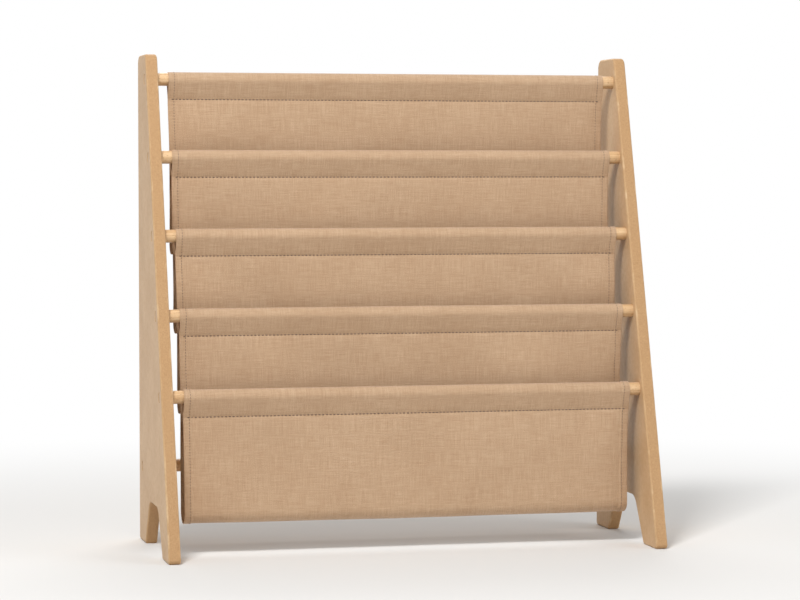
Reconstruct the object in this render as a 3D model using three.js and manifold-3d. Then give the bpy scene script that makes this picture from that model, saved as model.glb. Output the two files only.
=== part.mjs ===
// A child's sling bookshelf: two slanted side panels of compressed wood carry five dowels in a
// slanted row, and a sewn polyester cover hangs over them in four pockets, like a zigzag seen
// from the side. A sixth dowel ties the panels together low at the back. Each dowel end sits in a
// blind socket and is drawn in by a bolt, which runs through the panel into a threaded insert in
// the end grain and is hidden by a push-in cap.
//
// Millimetres. X is the width, -Y the front, +Z up. The origin is on the floor, in the middle of
// the shelf's width and depth.
import * as THREE from "three";
import { mergeVertices } from "three/addons/utils/BufferGeometryUtils.js";
import Module from "manifold-3d";

const wasm = await Module();
wasm.setup();

// Overall size
const overallWidth = 620;
const overallDepth = 250;
const overallHeight = 610;

// Clearance between pieces, and how far a cutter runs past what it cuts
const fitClearance = 0.3;
const cutOverrun = 2;

// Side panels
const panelThickness = 15;
const panelTopDepth = 68;
const panelTopRadius = 12;
const panelFootRadius = 5;
const panelEdgeRound = 2.5;
const footLength = 52;
const archHeight = 57;
const archTopLength = 72;
const archTopRadius = 24;
const archFootRadius = 4;

// Dowels, and where they sit
const pocketCount = 4;
const dowelRadius = 8;
const dowelChamfer = 0.8;
const socketDepth = 6;
const topDowelBelowTop = 31;
const dowelPitch = 96.5;
const dowelBehindFrontEdge = 17;
const rearDowelHeight = 95;
const rearDowelFromBack = 30;

// Bolts, threaded inserts and caps
const boltRadius = 2.5;
const boltLength = 25;
const boltTipChamfer = 0.5;
const boltHeadRadius = 5.2;
const boltHeadThickness = 2.4;
const hexAcrossFlats = 3;
const hexDepth = 1.6;
const insertRadius = 4;
const insertLength = 13;
const insertInset = 0.2;
const boreBeyondBolt = 2;
const capRadius = 6;
const capThickness = 1.4;
const capInset = 0.2;
const capChamfer = 0.4;
const capStubRadius = 1.1;
const capStubLength = 1.2;

// Sewn cover
const clothThickness = 1.2;
const clothSideGap = 14;
const sleeveDrop = 26;
const seamHeight = 3;
const pocketDepth = 120;
const lowestPocketDepth = 155;
const threadWidth = 1.4;
const threadThickness = 0.6;
const threadEndInset = 4;

// How finely round stretches are stepped
const dowelSides = 24;
const smallSides = 12;
const hexSides = 6;
const outlineStep = Math.PI / 12;
const clothStep = Math.PI / 14;
const edgeSteps = 2;

const finishes = {
  panel: new THREE.MeshStandardMaterial({ color: 0xc8a57c, roughness: 0.45, metalness: 0 }),
  dowel: new THREE.MeshStandardMaterial({ color: 0xdcbc90, roughness: 0.55, metalness: 0 }),
  cloth: new THREE.MeshStandardMaterial({ color: 0xc9a684, roughness: 0.9, metalness: 0 }),
  thread: new THREE.MeshStandardMaterial({ color: 0x785f48, roughness: 0.8, metalness: 0 }),
  steel: new THREE.MeshStandardMaterial({ color: 0xb9bcc0, roughness: 0.35, metalness: 1 }),
  brass: new THREE.MeshStandardMaterial({ color: 0xc9a653, roughness: 0.35, metalness: 1 }),
  cap: new THREE.MeshStandardMaterial({ color: 0xbd9a72, roughness: 0.5, metalness: 0 }),
};

const halfWidth = overallWidth / 2;
const halfDepth = overallDepth / 2;
const innerHalfWidth = halfWidth - panelThickness;

// An outline is drawn with its x along the shelf's y and its y along the shelf's z.
const outlineToShelf = new THREE.Matrix4().makeBasis(
  new THREE.Vector3(0, 1, 0),
  new THREE.Vector3(0, 0, 1),
  new THREE.Vector3(1, 0, 0),
);

// A lathe turns about its own y, which is laid along the shelf's x.
const latheToShelf = new THREE.Matrix4().makeBasis(
  new THREE.Vector3(0, 1, 0),
  new THREE.Vector3(1, 0, 0),
  new THREE.Vector3(0, 0, -1),
);

// Booleans

function toSolid(geometry) {
  const bare = geometry.clone();
  bare.deleteAttribute("normal");
  bare.deleteAttribute("uv");
  const merged = mergeVertices(bare);
  return new wasm.Manifold(
    new wasm.Mesh({
      numProp: 3,
      vertProperties: new Float32Array(merged.attributes.position.array),
      triVerts: new Uint32Array(merged.index.array),
    }),
  );
}

function toGeometry(solid) {
  const mesh = solid.getMesh();
  const geometry = new THREE.BufferGeometry();
  geometry.setAttribute("position", new THREE.BufferAttribute(mesh.vertProperties, 3));
  geometry.setIndex(new THREE.BufferAttribute(mesh.triVerts, 1));
  const faceted = geometry.toNonIndexed();
  faceted.computeVertexNormals();
  return faceted;
}

function cut(geometry, cutters) {
  let solid = toSolid(geometry);
  for (const cutter of cutters) {
    solid = solid.subtract(toSolid(cutter));
  }
  return toGeometry(solid);
}

// Outlines

function arcPoints(centre, radius, from, to, step) {
  const count = Math.max(1, Math.ceil(Math.abs(to - from) / step));
  return Array.from({ length: count + 1 }, (_, i) => {
    const angle = from + ((to - from) * i) / count;
    return new THREE.Vector2(
      centre.x + radius * Math.cos(angle),
      centre.y + radius * Math.sin(angle),
    );
  });
}

// A closed outline from corners of { x, y, radius }, each rounded to its radius.
function roundedOutline(corners) {
  const places = corners.map(({ x, y }) => new THREE.Vector2(x, y));
  return corners.flatMap(({ radius }, i) => {
    const place = places[i];
    const back = places.at(i - 1).clone().sub(place).normalize();
    const ahead = places[(i + 1) % places.length].clone().sub(place).normalize();
    const half = Math.acos(back.dot(ahead)) / 2;
    const middle = back.clone().add(ahead).normalize();
    const centre = place.clone().addScaledVector(middle, radius / Math.sin(half));
    const start = place.clone().addScaledVector(back, radius / Math.tan(half)).sub(centre).angle();
    const sweep = Math.sign(ahead.cross(back)) * (Math.PI - 2 * half);
    return arcPoints(centre, radius, start, start + sweep, outlineStep);
  });
}

function extrudedAcross(outline, holes, width) {
  const shape = new THREE.Shape(outline);
  shape.holes = holes.map((hole) => new THREE.Path(hole));
  const geometry = new THREE.ExtrudeGeometry(shape, { depth: width, bevelEnabled: false });
  geometry.translate(0, 0, -width / 2);
  return geometry.applyMatrix4(outlineToShelf);
}

// Turned pieces on one side: a profile of [radius, inset], where inset is the distance in from
// the panel's outer face, with the outer wall running outwards. side is -1 on the left, 1 on
// the right.
function turned(profile, sides, side) {
  const ordered = side > 0 ? profile : profile.toReversed();
  const points = ordered.map(([radius, inset]) => {
    return new THREE.Vector2(radius, side * (halfWidth - inset));
  });
  return new THREE.LatheGeometry(points, sides).applyMatrix4(latheToShelf);
}

function turnedPlug(radius, outerInset, innerInset, sides, side) {
  const profile = [
    [0, innerInset],
    [radius, innerInset],
    [radius, outerInset],
    [0, outerInset],
  ];
  return turned(profile, sides, side);
}

// The front edge's line, from the rounded toe to the top

const frontLean = Math.atan2(overallDepth - panelTopDepth, overallHeight);
const toeHalfAngle = (Math.PI / 2 - frontLean) / 2;
const toeY = -halfDepth - panelFootRadius * (1 / Math.tan(toeHalfAngle) - 1);
const topFrontY = halfDepth - panelTopDepth;

function frontEdgeY(z) {
  return toeY + ((topFrontY - toeY) * z) / overallHeight;
}

// Dowel places as (y, z): the top one, one at each pocket's front, and the rear one

function frontRowPlace(row) {
  const z = overallHeight - topDowelBelowTop - dowelPitch * row;
  return new THREE.Vector2(frontEdgeY(z) + dowelBehindFrontEdge, z);
}

const frontRow = Array.from({ length: pocketCount + 1 }, (_, row) => {
  return { name: row === 0 ? "top" : `pocket_${row}`, place: frontRowPlace(row) };
});
const rearPlace = new THREE.Vector2(halfDepth - rearDowelFromBack, rearDowelHeight);
const dowels = [...frontRow, { name: "rear", place: rearPlace }];

// Insets along a bolt, from the cap to the bolt's tip

const capUnderInset = capInset + capThickness;
const headTopInset = capUnderInset + fitClearance;
const headUnderInset = headTopInset + boltHeadThickness;
const recessInset = headUnderInset + fitClearance;
const socketFloorInset = panelThickness - socketDepth;
const dowelEndInset = socketFloorInset + fitClearance;
const insertStartInset = dowelEndInset + insertInset;
const insertEndInset = insertStartInset + insertLength;
const boltTipInset = headUnderInset + boltLength;
const boltHoleRadius = boltRadius + fitClearance;

// Side panels

function panelOutline() {
  const archTopEnd = archTopLength / 2;
  return roundedOutline([
    { x: toeY, y: 0, radius: panelFootRadius },
    { x: -halfDepth + footLength, y: 0, radius: archFootRadius },
    { x: -archTopEnd, y: archHeight, radius: archTopRadius },
    { x: archTopEnd, y: archHeight, radius: archTopRadius },
    { x: halfDepth - footLength, y: 0, radius: archFootRadius },
    { x: halfDepth, y: 0, radius: panelFootRadius },
    { x: halfDepth, y: overallHeight, radius: panelTopRadius },
    { x: topFrontY, y: overallHeight, radius: panelTopRadius },
  ]);
}

function sidePanel(side) {
  const board = new THREE.ExtrudeGeometry(new THREE.Shape(panelOutline()), {
    depth: panelThickness - 2 * panelEdgeRound,
    bevelEnabled: true,
    bevelThickness: panelEdgeRound,
    bevelSize: panelEdgeRound,
    bevelOffset: -panelEdgeRound,
    bevelSegments: edgeSteps,
  });
  board.translate(0, 0, panelEdgeRound - panelThickness / 2);
  board.applyMatrix4(outlineToShelf);
  board.translate(side * (halfWidth - panelThickness / 2), 0, 0);
  const past = panelThickness + cutOverrun;
  const holesAt = ({ place }) => [
    turnedPlug(capRadius + fitClearance, -cutOverrun, recessInset, smallSides, side),
    turnedPlug(boltHoleRadius, -cutOverrun, past, smallSides, side),
    turnedPlug(dowelRadius + fitClearance, socketFloorInset, past, dowelSides, side),
  ].map((cutter) => cutter.translate(0, place.x, place.y));
  return cut(board, dowels.flatMap(holesAt));
}

// Dowels and fasteners, made on the x axis and moved to their places

function dowel() {
  const end = halfWidth - dowelEndInset;
  const insertFloor = halfWidth - insertEndInset - fitClearance;
  const boltFloor = halfWidth - boltTipInset - boreBeyondBolt;
  const half = [
    [0, boltFloor],
    [boltHoleRadius, boltFloor],
    [boltHoleRadius, insertFloor],
    [insertRadius + fitClearance, insertFloor],
    [insertRadius + fitClearance, end],
    [dowelRadius - dowelChamfer, end],
    [dowelRadius, end - dowelChamfer],
  ];
  const left = half.map(([radius, x]) => new THREE.Vector2(radius, -x));
  const right = half.toReversed().map(([radius, x]) => new THREE.Vector2(radius, x));
  return new THREE.LatheGeometry([...left, ...right], dowelSides).applyMatrix4(latheToShelf);
}

function bolt(side) {
  const profile = [
    [0, boltTipInset],
    [boltRadius - boltTipChamfer, boltTipInset],
    [boltRadius, boltTipInset - boltTipChamfer],
    [boltRadius, headUnderInset],
    [boltHeadRadius, headUnderInset],
    [boltHeadRadius, headTopInset],
    [0, headTopInset],
  ];
  const hexRadius = hexAcrossFlats / 2 / Math.cos(Math.PI / hexSides);
  const hexFloor = headTopInset + hexDepth;
  const hex = turnedPlug(hexRadius, headTopInset - cutOverrun, hexFloor, hexSides, side);
  return cut(turned(profile, smallSides, side), [hex]);
}

function insert(side) {
  const profile = [
    [insertRadius, insertEndInset],
    [insertRadius, insertStartInset],
    [boltHoleRadius, insertStartInset],
    [boltHoleRadius, insertEndInset],
    [insertRadius, insertEndInset],
  ];
  return turned(profile, smallSides, side);
}

function cap(side) {
  const profile = [
    [0, capUnderInset + capStubLength],
    [capStubRadius, capUnderInset + capStubLength],
    [capStubRadius, capUnderInset],
    [capRadius, capUnderInset],
    [capRadius, capInset + capChamfer],
    [capRadius - capChamfer, capInset],
    [0, capInset],
  ];
  return turned(profile, smallSides, side);
}

// Sewn cover

const clothWidth = 2 * (innerHalfWidth - clothSideGap);
const layerOffset = (clothThickness + fitClearance) / 2;

// The outline round a dowel of the given radius, drawn in to a foot below it.
function teardrop(radius, footHalfWidth, footTop, below) {
  const backFoot = new THREE.Vector2(footHalfWidth, footTop);
  const frontFoot = new THREE.Vector2(-footHalfWidth, footTop);
  const reach = Math.acos(radius / backFoot.length());
  const from = backFoot.angle() + reach - 2 * Math.PI;
  const to = frontFoot.angle() - reach;
  const arc = arcPoints(new THREE.Vector2(), radius, from, to, outlineStep);
  return [...below, backFoot, ...arc, frontFoot];
}

function sleeve() {
  const innerRadius = dowelRadius + fitClearance;
  const seamTop = seamHeight - sleeveDrop;
  const seamEnd = [
    new THREE.Vector2(-clothThickness, -sleeveDrop),
    new THREE.Vector2(clothThickness, -sleeveDrop),
  ];
  const outer = teardrop(innerRadius + clothThickness, clothThickness, seamTop, seamEnd);
  // The inner outline's two feet are one point, so the first is left out.
  const inner = teardrop(innerRadius, 0, seamTop, []).slice(1);
  return extrudedAcross(outer, [inner], clothWidth);
}

function sling(row) {
  const back = frontRow[row - 1].place;
  const front = frontRow[row].place;
  const isLowest = row === pocketCount;
  const backY = back.x - layerOffset;
  const frontY = front.x + (isLowest ? -layerOffset : layerOffset);
  const bottomZ = front.y - (isLowest ? lowestPocketDepth : pocketDepth);
  const outerRadius = (backY - frontY + clothThickness) / 2;
  const innerRadius = outerRadius - clothThickness;
  const centre = new THREE.Vector2((backY + frontY) / 2, bottomZ + outerRadius);
  const legTop = sleeveDrop + fitClearance;
  const halfSheet = clothThickness / 2;
  const outline = [
    new THREE.Vector2(backY - halfSheet, back.y - legTop),
    ...arcPoints(centre, innerRadius, 0, -Math.PI, clothStep),
    new THREE.Vector2(frontY + halfSheet, front.y - legTop),
    new THREE.Vector2(frontY - halfSheet, front.y - legTop),
    ...arcPoints(centre, outerRadius, -Math.PI, 0, clothStep),
    new THREE.Vector2(backY + halfSheet, back.y - legTop),
  ];
  return extrudedAcross(outline, [], clothWidth);
}

// The topstitching that closes a sleeve, proud of the seam's front.
function seamThread() {
  const middleZ = seamHeight / 2 - sleeveDrop;
  const backY = -clothThickness - fitClearance;
  const frontY = backY - threadThickness;
  const halfBase = threadWidth / 2;
  const halfFace = halfBase - threadThickness / 2;
  const outline = [
    new THREE.Vector2(backY, middleZ + halfBase),
    new THREE.Vector2(frontY, middleZ + halfFace),
    new THREE.Vector2(frontY, middleZ - halfFace),
    new THREE.Vector2(backY, middleZ - halfBase),
  ];
  return extrudedAcross(outline, [], clothWidth - 2 * threadEndInset);
}

// The shelf

const shelf = new THREE.Group();

function add(name, geometry, finish, place) {
  const mesh = new THREE.Mesh(geometry, finish);
  mesh.name = name;
  if (place) {
    mesh.position.set(0, place.x, place.y);
  }
  shelf.add(mesh);
}

const sideNames = { left: -1, right: 1 };

for (const [sideName, side] of Object.entries(sideNames)) {
  add(`side_panel_${sideName}`, sidePanel(side), finishes.panel);
}

for (const { name, place } of dowels) {
  add(`${name}_dowel`, dowel(), finishes.dowel, place);
  for (const [sideName, side] of Object.entries(sideNames)) {
    add(`${name}_insert_${sideName}`, insert(side), finishes.brass, place);
    add(`${name}_bolt_${sideName}`, bolt(side), finishes.steel, place);
    add(`${name}_bolt_cap_${sideName}`, cap(side), finishes.cap, place);
  }
}

for (const { name, place } of frontRow) {
  add(`${name}_sleeve`, sleeve(), finishes.cloth, place);
  add(`${name}_seam_thread`, seamThread(), finishes.thread, place);
}

for (let row = 1; row <= pocketCount; row++) {
  add(`pocket_${row}_sling`, sling(row), finishes.cloth);
}

export default shelf;
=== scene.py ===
"""The looks of a child's sling bookshelf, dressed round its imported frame.

Metres, in the frame's own axes: X is the width, -Y the front, +Z up. The side panels, dowels,
caps and the sewn cover are finer meshes that stand for the frame's solids; the bolts and the
threaded inserts are the frame's own, with better materials.
"""

import functools
import math

import bmesh
import bpy
import numpy as np
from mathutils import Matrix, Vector


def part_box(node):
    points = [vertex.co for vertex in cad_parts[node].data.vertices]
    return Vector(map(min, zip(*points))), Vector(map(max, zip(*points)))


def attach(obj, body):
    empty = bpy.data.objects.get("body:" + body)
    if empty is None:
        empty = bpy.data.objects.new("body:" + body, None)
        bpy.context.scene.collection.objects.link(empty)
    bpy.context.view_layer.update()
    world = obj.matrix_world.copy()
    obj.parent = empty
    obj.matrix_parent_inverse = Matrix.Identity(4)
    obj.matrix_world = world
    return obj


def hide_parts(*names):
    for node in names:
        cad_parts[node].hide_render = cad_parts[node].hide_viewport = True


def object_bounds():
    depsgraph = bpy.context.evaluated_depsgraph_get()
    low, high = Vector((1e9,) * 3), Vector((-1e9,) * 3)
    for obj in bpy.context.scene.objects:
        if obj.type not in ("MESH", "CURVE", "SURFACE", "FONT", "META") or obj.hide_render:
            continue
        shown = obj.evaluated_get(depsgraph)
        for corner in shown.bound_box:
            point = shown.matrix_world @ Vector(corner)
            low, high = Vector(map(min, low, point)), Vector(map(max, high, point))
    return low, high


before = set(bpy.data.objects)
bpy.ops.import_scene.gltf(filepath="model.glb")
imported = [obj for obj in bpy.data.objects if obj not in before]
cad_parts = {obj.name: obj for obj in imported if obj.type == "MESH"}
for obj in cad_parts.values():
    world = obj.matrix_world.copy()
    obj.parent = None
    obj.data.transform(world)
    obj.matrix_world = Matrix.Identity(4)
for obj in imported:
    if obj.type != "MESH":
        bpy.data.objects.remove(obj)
cad_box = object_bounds()

# Camera: the photograph's viewing angle and distance, with a longer lens
CAMERA_AZIMUTH = math.radians(-13.16)
CAMERA_ELEVATION = math.radians(2.72)
CAMERA_DISTANCE = 3.461
CAMERA_LENS = 125
AIM_HEIGHT = (cad_box[0].z + cad_box[1].z) / 2

# Lamps: the side of each square, its power in watts and its place
LAMPS = {
    "key_lamp": {"size": 0.8, "power": 92, "place": (-1.2, -1.9, 2.9)},
    "fill_lamp": {"size": 1.8, "power": 20, "place": (2.3, -1.7, 1.2)},
    "back_lamp": {"size": 1.6, "power": 30, "place": (0.4, 2.0, 2.2)},
}

# World and floor, with how far out the floor fades to the white of the background
AMBIENT = 0.42
FLOOR_RADIUS = 12.0
FLOOR_SIDES = 64
FLOOR_FADE_SPAN = (0.5, 1.5)

# Side panels
PANEL_TOP_DEPTH = 0.068
PANEL_TOP_RADIUS = 0.012
PANEL_FOOT_RADIUS = 0.005
PANEL_EDGE_ROUND = 0.0025
FOOT_LENGTH = 0.052
ARCH_HEIGHT = 0.057
ARCH_TOP_LENGTH = 0.072
ARCH_TOP_RADIUS = 0.024
ARCH_FOOT_RADIUS = 0.004
RECESS_DEPTH = 0.0046
SOCKET_DEPTH = 0.006
RIM_CHAMFER = 0.0004

# Dowels, bolts and caps, and the room round each in its hole
FIT_CLEARANCE = 0.0003
DOWEL_CHAMFER = 0.0008
BOLT_RADIUS = 0.0025
BORE_BEYOND_BOLT = 0.002
CAP_THICKNESS = 0.0014
CAP_ROUND = 0.0005
CAP_DOME = 0.00025
CAP_STUB_RADIUS = 0.0011

# Sewn cover
CLOTH_THICKNESS = 0.0005
SLEEVE_CLEARANCE = 0.0010
SLEEVE_DROP = 0.0004
LAYER_OFFSET = 0.0008
PINCHED_OFFSET = 0.00028
PINCH_REACH = 0.005
PULL_REACH = 0.003
HEM_WIDTH = 0.010
HEM_STEP = 0.0008
HEM_FOLD_RADIUS = 0.0006
HEM_RIM_SHARE = 0.3
FLAP_LENGTH = 0.009
NECKING = 0.0012

# How far the hanging cloth stands out of line, and over what length
BROAD_WAVE = 0.0036
BROAD_WIDTH = 0.085
BROAD_HEIGHT = 0.25
BROAD_SETTLES = 0.05
GATHER = 0.0011
GATHER_WIDTH = 0.015
GATHER_REACH = 0.040
GATHER_REACH_ABOVE = 0.014
EDGE_CURL = 0.0028
EDGE_CURL_REACH = 0.03
EDGE_CURL_LENGTH = 0.07
HEM_PUCKER = 0.0003
HEM_PUCKER_LENGTH = 0.014
BOTTOM_SAG = 0.0012
BOTTOM_WAVE = 0.0007
BOTTOM_WAVE_WIDTH = 0.12
BOTTOM_REACH = 0.08

# The noise behind those waves: its table, how much finer its second layer is and that layer's
# share of the first, a seed for each row and kind, and where in the table each kind starts
NOISE_TABLE_SIZE = 64
FINER = 2.3
FINER_SHARE = 0.5
ROW_SEED_STEP = 100
BROAD_SEED = 0
GATHER_SEED = 10
CURL_SEED = 20
PUCKER_SEED = 30
BOTTOM_SEED = 7
BROAD_START = 5
GATHER_START = 9
BOTTOM_START = (7, 0.5)
EDGE_STARTS = {"left": 5, "right": 11}

# Stitches
SEAM_STITCH = {"length": 0.0039, "pitch": 0.0046, "radius": 0.00062, "rise": 0.00024}
HEM_STITCH = {"length": 0.0029, "pitch": 0.0036, "radius": 0.00034, "rise": 0.00010}
STITCH_FLATNESS = 0.75
STITCH_TAPER = 0.55
STITCH_BEND_POWER = 4
HEM_STITCH_INSET = 0.0075
SEAM_END_INSET = 0.004

# How finely round stretches are stepped
OUTLINE_STEP = math.radians(6)
EDGE_STEPS = 6
HOLE_SIDES = 48
DOWEL_SIDES = 64
LOOP_STEP = math.radians(12)
FOLD_STEP = math.radians(12)
LEG_STEP = 0.007
NEAR_SEAM_STEPS = [0.0008, 0.0018, 0.003, 0.005, 0.009]
LOOP_SIDE_STEP = 0.006
COLUMN_STEP = 0.006
HEM_COLUMN_SHARES = [0, 0.02, 0.06, 0.3, 0.6, 0.88, 0.96, 1, 1.04]
STITCH_RINGS = 5
STITCH_SIDES = 6

# Heights that lie closer than this are the same
HEIGHT_TOLERANCE = 1e-6

# Angles above which an edge stays sharp
SHARP_TURNED = math.radians(28)
SHARP_BOARD = math.radians(30)
SHARP_CLOTH = math.radians(50)
SHARP_STITCH = math.radians(80)

# Colours are red, green and blue from 0 to 255, as on a screen
WHITE = (255, 255, 255)
FLOOR_COLOUR = (224, 223, 221)

# The span in which most of a noise's values lie
NOISE_SPAN = (0.3, 0.7)

# The materials' features. Each is a noise of the given size, alike or for each axis. One that
# has a colour comes in over a span of values, up to a share, and a span that is written from
# high to low comes in as the values fall.

# Compressed wood
BOARD_TONES = [(196, 160, 119), (206, 172, 132)]
BOARD_CLOUD = {"size": 0.05, "detail": 3.0}
BOARD_MOTTLE = {
    "size": 0.006, "detail": 4.0, "span": (0.35, 0.75), "share": 0.5, "colour": (188, 150, 108),
}
BOARD_FIBRE = {
    "size": (0.0012, 0.0052, 0.0005), "detail": 1.0,
    "span": (0.60, 0.82), "share": 0.42, "colour": (220, 190, 152),
}
BOARD_FIBRE_TURNS = (0.3, 1.0, 1.7, 2.6)
BOARD_FLECK = {
    "size": (0.0012, 0.0014, 0.0014), "detail": 1.0,
    "span": (0.68, 0.80), "share": 0.6, "colour": (140, 104, 70),
}
BOARD_WEAR = {"size": 0.02, "detail": 5.0, "span": (0.5, 0.7), "colour": (214, 184, 146)}
BOARD_PEEL = {"size": 0.0022, "detail": 1.0}
CORE_TONES = [(166, 127, 87), (190, 152, 110)]
CORE_GRAIN = {"size": (0.0005, 0.0016, 0.0016), "detail": 3.0, "span": (0.32, 0.68)}
CORE_SHOWS = {"span": (0.15, 1.0), "share": 0.85}
PEEL_HEIGHT = 0.00004
PORE_HEIGHT = 0.00008
FIBRE_HEIGHT = 0.00003
BOARD_ROUGHNESS = {"span": (0.4, 1.6), "to": (0.46, 0.68)}

# Turned beech
BEECH_TONES = [(226, 193, 150), (204, 165, 119)]
BEECH_RINGS = {"size": (0.9, 0.0050, 0.0050), "distortion": 0.4}
BEECH_GRAIN = {
    "size": (0.25, 0.0011, 0.0011), "detail": 4.0, "roughness": 0.6,
    "span": (0.42, 0.72), "share": 0.65, "colour": (184, 141, 96),
}
BEECH_RAYS = {
    "size": (0.0026, 0.0006, 0.0006), "detail": 0.0,
    "span": (0.70, 0.78), "share": 0.75, "colour": (150, 104, 66),
}
BEECH_GRAIN_HEIGHT = 0.00006
BEECH_ROUGHNESS = {"span": NOISE_SPAN, "to": (0.42, 0.58)}

# Woven cloth, in which a weft yarn is long in X and a warp yarn along the cloth
YARN_PITCH = 0.00062
YARN_TONE_LENGTH = 0.022
YARN_BAND_LENGTH = 0.045
YARN_BAND_WIDTH = 0.0022
YARN_DARK = (176, 140, 106)
YARN_MIDDLE = (201, 166, 132)
YARN_PALE = (224, 195, 164)
YARN_TONE = {"detail": 2.0, "roughness": 0.7, "span": (0.28, 0.72)}
WEFT_TONE = {**YARN_TONE, "size": (YARN_TONE_LENGTH, YARN_PITCH, YARN_PITCH)}
WARP_TONE = {**YARN_TONE, "size": (YARN_PITCH, YARN_TONE_LENGTH, YARN_PITCH)}
WEFT_BAND = {"size": (YARN_BAND_LENGTH, YARN_BAND_WIDTH, YARN_BAND_WIDTH)}
WARP_BAND = {"size": (YARN_BAND_WIDTH, YARN_BAND_LENGTH, YARN_BAND_WIDTH)}
DARK_BANDS = {"span": (1.0, 0.75), "share": 0.15, "colour": YARN_DARK}
PALE_BANDS = {"span": (1.0, 1.25), "share": 0.15, "colour": YARN_PALE}
WEAVE_SPAN = (-0.4, 0.4)
YARN_EVENNESS = 0.35
SLUB = {
    "size": (0.009, 0.0012, 0.0012), "detail": 1.0,
    "span": (0.66, 0.8), "share": 0.5, "colour": YARN_PALE,
}
CLOTH_PATCH = {
    "size": 0.09, "detail": 3.0, "span": (0.35, 0.7), "share": 0.16, "colour": (170, 134, 100),
}
# Painted shade: the gaps between the yarns are darkened, as shade that falls between them
WEAVE_GAP_SHADE = {"span": (0.35, 0.0), "share": 0.45, "colour": (120, 92, 66)}
FUZZ = {"size": 0.0003, "detail": 3.0}
DENT_HEIGHT = 0.00010
WEAVE_HEIGHT = 0.00012
YARN_HEIGHT = 0.00018
FUZZ_HEIGHT = 0.00006
CLOTH_ROUGHNESS = {"span": NOISE_SPAN, "to": (0.78, 0.94)}

# Sewing thread
THREAD_TONES = [(98, 74, 52), (120, 93, 68)]
THREAD_TONE = {"size": 0.004, "detail": 3.0}
TWIST_LENGTH = 0.0007
TWIST_HEIGHT = 0.00006
TWIST_SHADE = {"span": (0.2, -1.0), "share": 0.35, "colour": (64, 46, 31)}
THREAD_ROUGHNESS = {"span": NOISE_SPAN, "to": (0.5, 0.7)}

# Moulded caps
CAP_TONES = [(184, 149, 110), (194, 160, 121)]
CAP_TONE = {"size": 0.004}
CAP_GRAIN = {"size": 0.0005}
CAP_GRAIN_HEIGHT = 0.00004
CAP_ROUGHNESS = {"span": NOISE_SPAN, "to": (0.42, 0.6)}

# Turned metal
TOOL_MARKS = {"size": (0.00015, 0.004, 0.004)}
TOOL_MARK_HEIGHT = 0.00003
STAIN = {"size": 0.003, "detail": 3.0}
ZINC = {"tones": [(176, 180, 186), (204, 206, 208)], "roughness": (0.28, 0.43)}
BRASS = {"tones": [(186, 150, 78), (212, 178, 104)], "roughness": (0.25, 0.40)}

FRONT_ROWS = ["top", "pocket_1", "pocket_2", "pocket_3", "pocket_4"]
ROWS = FRONT_ROWS + ["rear"]
SIDES = {"left": -1, "right": 1}


def centre_of(node):
    low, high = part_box(node)
    return (low + high) / 2


def radius_of(node):
    low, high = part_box(node)
    return (high.z - low.z) / 2


# Camera and lamps


def make_camera():
    back = Vector((
        math.sin(CAMERA_AZIMUTH) * math.cos(CAMERA_ELEVATION),
        -math.cos(CAMERA_AZIMUTH) * math.cos(CAMERA_ELEVATION),
        math.sin(CAMERA_ELEVATION),
    ))
    data = bpy.data.cameras.new("camera")
    data.lens = CAMERA_LENS
    camera = bpy.data.objects.new("camera", data)
    camera.location = Vector((0, 0, AIM_HEIGHT)) + back * CAMERA_DISTANCE
    camera.rotation_mode = "QUATERNION"
    camera.rotation_quaternion = (-back).to_track_quat("-Z", "Y")
    bpy.context.scene.collection.objects.link(camera)
    bpy.context.scene.camera = camera


def make_lamp(name, size, power, place):
    data = bpy.data.lights.new(name, "AREA")
    data.size = size
    data.energy = power
    lamp = bpy.data.objects.new(name, data)
    lamp.location = place
    lamp.rotation_mode = "QUATERNION"
    aim = Vector((0, 0, AIM_HEIGHT)) - Vector(place)
    lamp.rotation_quaternion = aim.to_track_quat("-Z", "Y")
    bpy.context.scene.collection.objects.link(lamp)


make_camera()
for lamp_name, lamp_values in LAMPS.items():
    make_lamp(lamp_name, **lamp_values)
bpy.context.scene.view_settings.view_transform = "Standard"


# Node trees

# The standard by which a screen's colour is written
SRGB_FULL = 255
SRGB_TOE = 0.04045
SRGB_TOE_SLOPE = 12.92
SRGB_OFFSET = 0.055
SRGB_POWER = 2.4

# A mix node has sockets for numbers, vectors, colours and turns. These are its colours'.
MIX_FIRST = 6
MIX_SECOND = 7
MIX_RESULT = 2


def linear(colour):
    """A screen's colour as the linear one that shaders take."""
    def one(value):
        share = value / SRGB_FULL
        if share <= SRGB_TOE:
            return share / SRGB_TOE_SLOPE
        return ((share + SRGB_OFFSET) / (1 + SRGB_OFFSET)) ** SRGB_POWER

    red, green, blue = colour
    return (one(red), one(green), one(blue), 1.0)


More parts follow.
